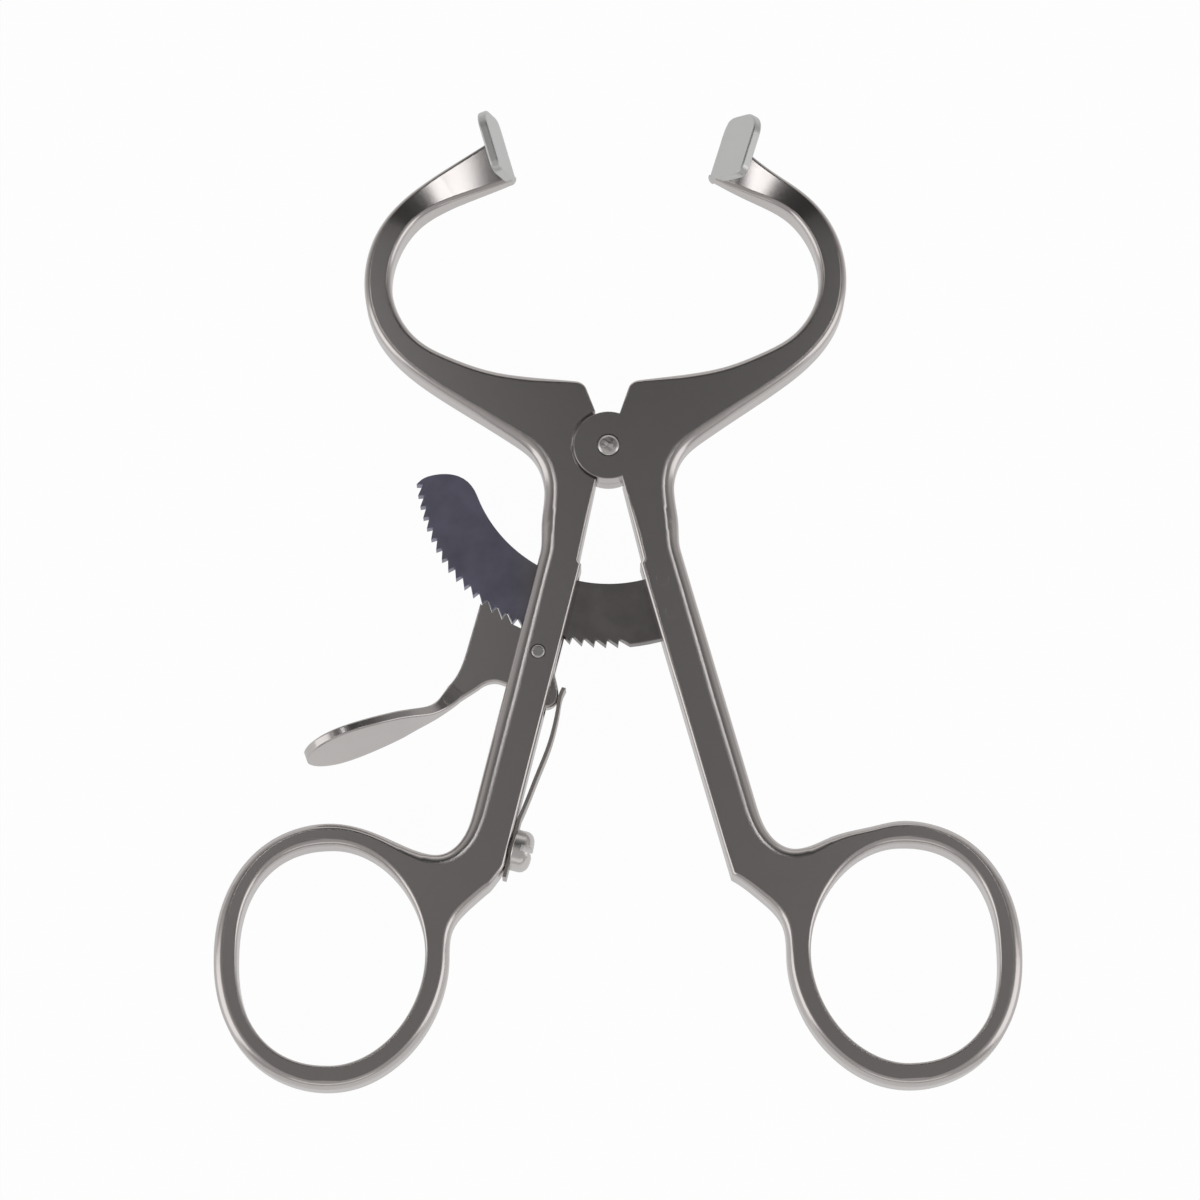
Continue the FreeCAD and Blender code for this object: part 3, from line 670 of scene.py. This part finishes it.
# One arm without its pad, drawn for the right-hand side
def armParts(side):
    steps = 8
    outer, inner = jawSides(pads[side])
    rows = []
    outsideRows(rows, side, outer, steps)
    insideRows(rows, side, inner, steps)
    rows = np.array(rows)
    degrees = 360 / 96 * np.arange(96)
    drop = arm["rightDrop"] if side == "right" else 0
    hole = np.array([ringPoint(0, d, drop) for d in degrees])
    soft = arm["holeSoft"] * np.clip(np.sin(np.radians(degrees)), 0, 1)
    rise, thin = np.zeros(len(rows)), np.ones(len(rows))
    bent = 2 * steps + 4
    for i in range(bent):
        t = 1 - i / bent
        for j in (i, len(rows) - 1 - i):
            rise[j] = arm["tipRise"] * t ** arm["risePower"]
            thin[j] = 1 - (1 - arm["tipThickness"] / arm["thickness"]) * t ** arm["thinPower"]
    half = arm["thickness"] / 2
    reach, depth = arm["holeRound"]
    return slab(rows[:, :2], rows[:, 2], rows[:, 3], -half, half, [(hole, reach + soft, depth + soft)],
                (len(outer) - 1) * steps + 1, rise=rise, thin=thin)


# The pad's plate, with a wide rounding at its foot where it is bent up from the bar
def padParts(spec):
    w, h = pads["width"] / 2, pads["depth"]
    outline = rounded([(-w, 0), (w, 0), (w, h), (-w, h)], pads["corners"], 10)
    dense, spacing = [], 0.6
    for a, b in zip(outline, np.roll(outline, -1, 0)):
        count = max(1, int(np.linalg.norm(b - a) / spacing))
        dense += [a + (b - a) * i / count for i in range(count)]
    dense = np.array(dense)
    foot = np.clip(1 - dense[:, 1] / pads["footHeight"], 0, 1)
    reach, depth = [e + more * foot for e, more in zip(pads["edge"], pads["foot"])]
    vertices, faces = slab(dense, reach, depth, 0, pads["thickness"], under=1 - pads["foot"][1] * foot)
    side, up, inward, corner = padFrame(spec)
    return np.array([corner + side * a + up * b + inward * c for a, b, c in vertices]), faces


# What lies past the pad's inner face, where the bar's end is trimmed
def pastPad(spec, place):
    side, up, inward, corner = padFrame(spec)
    face = corner + inward * (pads["thickness"] - pads["trimBite"])
    v = [face + side * a + up * b + inward * c for c in (0, pads["trimDepth"]) for a, b in pads["trim"]]
    return piece("cutter", [(v, boxFaces, 0)], **place)


# One ridge across the pad's outer face, and the way to the next one
def ridgeParts(spec):
    side, up, inward, corner = padFrame(spec)
    v = [corner + side * a + up * (pads["firstRidge"] + b) + inward * c
         for a in (-pads["ridgeHalf"], pads["ridgeHalf"]) for b, c in pads["ridgeSection"]]
    f = [(0, 1, 2, 3), (7, 6, 5, 4)] + [(i, (i + 1) % 4, (i + 1) % 4 + 4, i + 4) for i in range(4)]
    return v, f, up * pads["pitch"]


# The slot through the left shank, as a curved block round the pivot
def slotCutter():
    slot = arm["slot"]
    angles = np.linspace(*slot["angles"], 24)
    loop = [polar(slot["from"], a) for a in angles] + [polar(slot["to"], a) for a in angles[::-1]]
    return sharpPlate(np.array(loop), -slot["half"], slot["half"])


for side in ("right", "left"):
    isRight = side == "right"
    place = {"mirror": not isRight, "turn": arm["rightTurn"] if isRight else 0}
    armObj = piece(side + "Arm", [(*armParts(side), 0)], [satin, padSteelPaintedSheen], **place)
    low, high = (-past, arm["lapGap"]) if isRight else (-arm["lapGap"], past)
    cutters = [drum(arm["hub"] + arm["hubGap"], low, high), drum(pins["pivotBore"], -past, past, count=48),
               pastPad(pads[side], place)]
    if not isRight:
        cutters += [slotCutter(), drum(pins["pawlBore"], -past, past, *pawlPin, 48)]
    cut(armObj, cutters)
    padObj = piece(side + "Pad", [(*padParts(pads[side]), 0)], [padSteelPaintedSheen], **place)
    v, f, step = ridgeParts(pads[side])
    step = turned([step], place["turn"])[0] * ([1, 1, 1] if isRight else [-1, 1, 1])
    repeat(padObj, piece("ridge", [(v, f, 0)], [padSteelPaintedSheen], **place), padSteelPaintedSheen,
           {"count": pads["ridges"], "step": tuple(float(s) for s in step)})
    join(armObj, padObj)
    finished(armObj, side + "_arm", side + "_arm")

print("stage: pins, rivets and screw")

spring = {
    "thickness": 0.55,
    "width": 3.2,
    "round": (0.08, 0.15),
    "gap": 0.055,               # between the foot and the shank
    "seat": (0.4, 8.8),         # from the heel to the foot's two ends
    "tip": 3.9,                 # past the pawl pin, along the shank
    # the free part: share of its length, distance from the shank
    "bend": ((0.155, 0.8), (0.301, 1.15), (0.451, 1.55), (0.58, 1.82), (0.705, 1.88), (0.839, 1.76),
             (0.933, 1.64), (1.0, 1.85)),
    "bendsFrom": (44, 4),       # on the left shank, where it starts to follow the lever
    "bendsTo": (33.4, 4.5),
}
screw = {
    "place": 58.3,              # along the shank
    "headRadius": 2.85,
    "headHeight": 2.5,
    "headRound": (1.5, 1.3),
    "headUnder": 0.2,           # share of the rounding that the underside gets
    "headSink": 0.2,
    "slotHalf": 0.45,
    "slotDepth": 1.5,
    "bodyRadius": 1.2,
    "bodyLength": 4.4,
}


# Round pins with rounded ends; hammered is how uneven the blows left them
def stud(name, radius, low, high, spots, material, ends, node, body, hammered=0.0):
    parts = []
    for x, y in spots:
        v, f = slab(circle(radius, 48) + [x, y], *ends, low, high, steps=10 if hammered else 6)
        if hammered:
            inner = np.clip(1.2 - np.hypot(v[:, 0] - x, v[:, 1] - y) / radius, 0, 1) * np.sign(v[:, 2])
            waves = (np.sin(2.9 * v[:, 0] + 1.2) * np.cos(3.3 * v[:, 1] - 0.6)
                     + 0.5 * np.sin(5.1 * v[:, 1] + 4.3 * v[:, 0]))
            v[:, 2] += hammered * inner * waves
        parts.append((v, f, 0))
    return finished(piece(name, parts, [material]), node, body)


# The slotted screw, drawn upright and then laid against the side of the left shank
def screwPiece():
    base = spring["gap"] + spring["thickness"]
    top = slab(circle(screw["headRadius"]), *screw["headRound"], -screw["headSink"], screw["headHeight"],
               steps=10, under=screw["headUnder"])
    bodyPart = slab(circle(screw["bodyRadius"], 32), 0.05, 0.05, -screw["bodyLength"] - base, 0.1)
    obj = piece("springScrew", [(*top, 0), (*bodyPart, 0)], [bright])
    slotHalf, slotFloor = screw["slotHalf"], screw["headHeight"] - screw["slotDepth"]
    cut(obj, [block(-slotHalf, slotHalf, -past, past, slotFloor, past)])
    x, y = onShank(screw["place"], arm["shankWidth"] / 2 + base)
    lean = math.radians(arm["shankLean"])
    axis, across = Vector((math.cos(lean), -math.sin(lean), 0)), Vector((-math.sin(lean), -math.cos(lean), 0))
    spin = Matrix((across, axis.cross(across), axis)).transposed().to_4x4()
    obj.data.transform(Matrix.Translation((-x, y, 0)) @ spin)
    return obj


half = arm["thickness"] / 2
tall = half + pins["pivotStands"]
stud("pivotPin", pins["pivot"], -tall, tall, [(0, 0)], bright, pins["pivotDome"],
     "main_pivot_pin", "right_arm", pins["hammered"])
stud("pawlPin", pins["pawl"], -half, half, [pawlPin], bright, pins["pawlRound"],
     "pawl_pin", "left_arm")
rivetOff = arm["shankWidth"] * pins["rivetInward"]
rivetSpots = turned([onShank(a, rivetOff) for a in pins["rivetSpots"]], arm["rightTurn"])
tall = half + pins["rivetStands"]
stud("rackRivets", pins["rivet"], -tall, tall, rivetSpots, satin, pins["rivetRound"],
     "rack_rivets", "right_arm")
finished(screwPiece(), "spring_screw", "left_arm")

print("stage: rack")


# The band with its last tip; the other teeth are copies of one, set round the arc
def rackPiece():
    last = rack["first"] + (rack["count"] - 1) * rack["pitch"]
    end = last + rack["pastLast"]
    wide = rack["tip"] - rack["inner"]

    def low(angle):
        return rack["tip"] - rack["tooth"] - rack["fall"] * max(0, angle - rack["even"])

    start = [polar(rack["tip"], a) for a in np.linspace(rack["root"], rack["first"], 8)]
    toothed = [polar(low(a), a) for a in np.linspace(rack["first"] + rack["pitch"] - rack["flank"],
                                                     last - rack["flank"], 70)]
    toothed.append(polar(low(last) + rack["tooth"], last))
    turn = math.degrees(rack["end"] / rack["inner"])
    corner = spline([toothed[-1]] + [polar(rack["inner"] + share * wide, end + ahead)
                                     for share, ahead in rack["endCurve"] + ((0, -turn),)], steps=5)
    inside = [polar(rack["inner"], a) for a in np.linspace(end - turn, rack["root"], 50)]
    loop = np.array(start + toothed + list(corner[1:]) + inside[1:])
    edge = np.array([rack["edge"]] * len(loop))
    edge[len(start):len(start) + len(toothed)] = 0.01
    t = rack["thickness"] / 2
    return piece("toothedRack", [(*slab(loop, edge, edge, -t, t, steps=2), 0)], [dark])


# One tooth straight below the pivot, its steep flank towards the right arm
def toothMesh():
    t = rack["thickness"] / 2 - 0.004
    low, buried = rack["tip"] - rack["tooth"], 0.2
    back = rack["pitch"] - rack["flank"]
    loop = np.array([polar(rack["tip"], 0), polar(low, -rack["flank"]), polar(low - buried, -rack["flank"]),
                     polar(low - buried, back), polar(low, back)])
    return piece("oneTooth", [(*slab(loop, *rack["toothEdge"], -t, t, steps=2), 0)], [dark])


# Place and turn of a tooth by its number; the last ones stand lower
def toothPlace(number, given):
    angle = number * given["pitch"] + given["first"]
    graph = angle.graph
    fall = graph.math("MAXIMUM", angle - given["even"], 0.0) * given["fall"]
    return fall * graph.math("SINE", angle), fall * graph.math("COSINE", angle), angle * -1.0


rackObj = rackPiece()
repeat(rackObj, toothMesh(), dark, {
    "count": rack["count"] - 2,
    "pitch": math.radians(rack["pitch"]),
    "first": math.radians(rack["first"] + rack["pitch"]),
    "even": math.radians(rack["even"]),
    "fall": rack["fall"] * 180 / math.pi,
}, toothPlace)
finished(rackObj, "toothed_rack", "right_arm")

print("stage: lever")

lever = {
    "thickness": 2.0,
    "bore": 1.04,
    "teeth": 3,
    "meshAngle": 39.6,          # of the first tooth
    "mesh": 0.27,               # how far the teeth stay clear of the rack's
    "rise": 0.06,               # what each next tooth stays clear by more
    "back": 0.42,
    "tail": 7.6,
    "reach": 2.75,
    "edges": {"teeth": 0.05, "right": 0.3, "left": 0.22, "last": 0.1},
    "paddleFromPin": (-14.89, -8.28),
    "angle": 20.0,              # the paddle's fall to the left, in degrees
    "leaf": 1.3,
    "lean": 5.0,
    "edge": 0.28,
    # sections of the neck: place from the paddle's start, angle, width and height
    "neck": ((4.7, 4.2, 47, 2.2, 1.9), (3.6, 3.0, 48, 2.5, 2.03), (1.9, 1.25, 40, 1.85, 2.38),
             (0, 0, 26, 1.4, 4.4)),
    # the paddle: distance from its start, height
    "heights": ((2.2, 6.9), (4.6, 8.9), (7.2, 10.7), (9.6, 11.8), (11.8, 12.2), (13.6, 11.75),
                (15.2, 10.3), (16.4, 8.3), (17.3, 5.8), (17.85, 3.2), (18.05, 1.4)),
}


# The flat of the lever: its teeth, its tail and the two sides that run to the paddle
def leverPlate():
    px, py = pawlPin
    root = rack["tip"] - rack["tooth"]
    first = math.floor((lever["meshAngle"] - rack["first"]) / rack["pitch"])
    edge = []
    for i in range(lever["teeth"]):
        tip = rack["first"] + (first - i) * rack["pitch"]
        mesh = lever["mesh"] + i * lever["rise"]
        edge += [polar(rack["tip"] + mesh, tip - lever["back"]),
                 polar(root + mesh, tip - rack["flank"] - lever["back"])]
    nearest = rack["first"] + (first - lever["teeth"]) * rack["pitch"]
    edge += [polar(rack["tip"] + lever["mesh"], a) for a in (nearest, nearest - 3)]
    reach, tailEnd = px + lever["reach"], py - lever["tail"]
    right = spline([(px + 1.56, py + 2.08), (px + 2.6, py), (reach - 0.45, py - 2.4), (reach, py - 4.9),
                    (reach - 0.45, tailEnd + 0.5), (px + 1.0, tailEnd), (px - 0.4, tailEnd + 1.0),
                    (px - 2.4, py - 5.2), (px - 4.7, py - 4.2), (px - 5.7, py - 3.9), (px - 6.8, py - 4.0),
                    (px - 8.2, py - 4.8)])
    sx, sy = px + lever["paddleFromPin"][0], py + lever["paddleFromPin"][1]
    left = spline([(sx + 2.4, sy + 3.6), (px - 11.5, py - 3.5), (px - 9.7, py + 1.1),
                   (edge[0][0] - 0.25, edge[0][1] + 0.25)])
    loop = np.array(edge + list(right) + [(sx + 4.3, sy + 1.9)] + list(left))
    edges = lever["edges"]
    bevel = np.array([edges["teeth"]] * len(edge) + [edges["right"]] * (len(right) + 1)
                     + [edges["left"]] * (len(left) - 1) + [edges["last"]])
    t = lever["thickness"] / 2
    return slab(loop, bevel, bevel, -t, t, steps=4)


# The thumb piece and its neck: sections that turn from the flat of the plate into an upright leaf
def paddle():
    a = math.radians(lever["angle"])
    start = np.array([pawlPin[0] + lever["paddleFromPin"][0], pawlPin[1] + lever["paddleFromPin"][1], 0])
    keys = list(lever["neck"]) + [(-math.cos(a) * s, -math.sin(a) * s, lever["angle"], lever["leaf"], h)
                                  for s, h in lever["heights"]]
    # A tenth of the angle, so that the curve's spans are set by the places
    dense = spline(np.array(keys) * [1, 1, 0.1, 1, 1], steps=5)
    vertices = []
    for x, y, tenth, wide, high in dense:
        b = math.radians(tenth * 10)
        square, up = np.array([math.sin(b), -math.cos(b), 0]), np.array([0, 0, 1.0])
        lay = math.radians(lever["lean"]) * min(max(-x / 4, 0), 1)
        s, u = square * math.cos(lay) + up * math.sin(lay), up * math.cos(lay) - square * math.sin(lay)
        w, h = wide / 2, high / 2
        edge = min(lever["edge"], wide * 0.35, high * 0.35)
        loop = rounded([(-w, -h), (w, -h), (w, h), (-w, h)], [edge] * 4, 5)
        vertices += [start + [x, y, 0] + s * p + u * q for p, q in loop]
    n, rings = len(loop), len(dense)
    faces = bands(0, n, rings) + [tuple(range(n)), tuple(range((rings - 1) * n, rings * n))]
    return np.array(vertices), faces


leverObj = piece("pawlLever", [(*leverPlate(), 0)], [satin])
cut(leverObj, [drum(lever["bore"], -past, past, *pawlPin, 48)])
join(leverObj, piece("paddle", [(*paddle(), 0)], [satin]))
finished(leverObj, "pawl_lever", "pawl")

print("stage: spring")


# The strip, drawn for the right-hand side along its middle line and mirrored to the left shank
def springParts():
    heelPlace = arm["shankFoot"] + arm["heel"]
    footEnd = heelPlace - spring["seat"][1]
    down = aim(onShank(0), onShank(1))
    tipPlace = spring["tip"] - pawlPin[0] * down[0] + pawlPin[1] * down[1]
    seatOff = spring["gap"] + spring["thickness"] / 2
    free = [(footEnd + s * (tipPlace - footEnd), off) for s, off in spring["bend"]]
    line = list(straight((heelPlace - spring["seat"][0], seatOff), (footEnd, seatOff), 6))
    line += list(spline([(footEnd, seatOff)] + free, steps=6)[1:])
    halfThick, halfWide = spring["thickness"] / 2, spring["width"] / 2
    near, far = [[onShank(a, arm["shankWidth"] / 2 + off + s) for a, off in line]
                 for s in (-halfThick, halfThick)]
    return slab(np.array(near + far[::-1]) * [-1, 1], *spring["round"], -halfWide, halfWide, steps=3)


springObj = piece("leafSpring", [(*springParts(), 0)], [springSteel])
finished(springObj, "leaf_spring", None)
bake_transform(springObj)

print("stage: camera, floor and light")

view = {
    "tilt": 14.5,                        # degrees from straight above
    "distance": 0.65,                    # metres
    "lookAt": (-1.1825, -21.6007, 0),    # millimetres from the pivot
    "pixelsPerMillimetre": 7.22,         # of the photo
    "photoWidth": 1200,
    "sensor": 36,
}
ground = {"reach": 3, "drop": 0.0005, "colour": (0.86, 0.86, 0.855, 1), "rough": 0.9,
          "whiteToCamera": 0.97, "whiteToGloss": 0.55}
studioSky = {"squeeze": (0.6, 1, 1), "darkMiddle": (0, 0.45, 0.89), "darkSpan": (0.17, 0.6),
             "dark": (0.02, 0.0195, 0.019, 1), "pale": (0.46, 0.45, 0.445, 1)}
# Place and target in metres, size in metres, power in watts
lights = {
    "leftBox": ((-0.85, -0.15, 0.4), (0, 0, 0), (0.6, 0.9), 1.5),
    "rightBox": ((0.85, -0.15, 0.4), (0, 0, 0), (0.6, 0.9), 1.5),
    "lowBox": ((0, -0.85, 0.4), (0, 0, 0), (0.9, 0.3), 0.4),
    "highBox": ((0, 0.9, 0.35), (0, 0, 0), (1.0, 0.3), 0.35),
    "leftTop": ((-0.217, 0.306, 0.957), (-0.022, 0.06, 0), (0.13, 0.13), 0.14),
    "rightTop": ((0.245, 0.3, 0.957), (0.022, 0.06, 0), (0.13, 0.13), 0.14),
}


def addCamera():
    data = bpy.data.cameras.new("camera")
    data.sensor_width = view["sensor"]
    data.lens = view["sensor"] * view["pixelsPerMillimetre"] * view["distance"] * 1000 / view["photoWidth"]
    data.clip_start, data.clip_end = 0.01, 10
    camera = bpy.data.objects.new("camera", data)
    scene.collection.objects.link(camera)
    scene.camera = camera
    tilt = math.radians(view["tilt"])
    back, up = Vector((0, -math.sin(tilt), math.cos(tilt))), Vector((0, math.cos(tilt), math.sin(tilt)))
    camera.matrix_world = Matrix((Vector((1, 0, 0)), up, back)).transposed().to_4x4()
    camera.location = toMetres @ Vector(view["lookAt"]) + back * view["distance"]


# A pale floor that shows white to the camera and to gloss, and keeps the object's shadow
def addFloor():
    reach = ground["reach"]
    mesh = bpy.data.meshes.new("floor")
    corners = [(-reach, -reach, 0), (reach, -reach, 0), (reach, reach, 0), (-reach, reach, 0)]
    mesh.from_pydata(corners, [], [(0, 1, 2, 3)])
    floor = bpy.data.objects.new("floor", mesh)
    floor.location.z = -ground["drop"]
    scene.collection.objects.link(floor)
    white = bpy.data.materials.new("whiteFloor")
    white.use_nodes = True
    graph = Graph(white.node_tree)
    nodes = white.node_tree.nodes
    graph.feed(nodes["Principled BSDF"], {"Base Color": ground["colour"], "Roughness": ground["rough"]})
    rays = graph.add("ShaderNodeLightPath")
    share = rays["Is Camera Ray"] * ground["whiteToCamera"] + rays["Is Glossy Ray"] * ground["whiteToGloss"]
    glow = graph.add("ShaderNodeEmission", {}, {"Color": (1, 1, 1, 1)})
    mixed = graph.add("ShaderNodeMixShader", {}, {0: graph.math("MINIMUM", share, 1.0),
                                                  1: Value(graph, nodes["Principled BSDF"]), 2: glow})
    graph.feed(nodes["Material Output"], {"Surface": mixed})
    mesh.materials.append(white)


# A pale sky with a dark patch overhead, which the flat faces reflect
def addSky():
    world = bpy.data.worlds.new("world")
    scene.world = world
    world.use_nodes = True
    graph = Graph(world.node_tree)
    direction = graph.add("ShaderNodeTexCoord")["Generated"]
    squeezed = graph.add("ShaderNodeVectorMath", {"operation": "MULTIPLY"},
                         {0: direction, 1: studioSky["squeeze"]})
    away = graph.add("ShaderNodeVectorMath", {"operation": "DISTANCE"},
                     {0: squeezed, 1: studioSky["darkMiddle"]})
    shade = graph.ramp(away["Value"], *studioSky["darkSpan"])
    colour = graph.add("ShaderNodeMix", {"data_type": "RGBA"},
                       {"Factor": shade, "A": studioSky["dark"], "B": studioSky["pale"]})["Result"]
    graph.feed(world.node_tree.nodes["Background"], {"Color": colour})


def addLight(name, place, target, size, power):
    data = bpy.data.lights.new(name, "AREA")
    data.shape, data.size, data.size_y = "RECTANGLE", *size
    data.energy = power
    obj = bpy.data.objects.new(name, data)
    scene.collection.objects.link(obj)
    obj.location = place
    obj.rotation_mode = "QUATERNION"
    obj.rotation_quaternion = (Vector(target) - Vector(place)).to_track_quat("-Z", "Y")


addCamera()
addFloor()
addSky()
for name, spec in lights.items():
    addLight(name, *spec)
scene.view_settings.view_transform = "Standard"
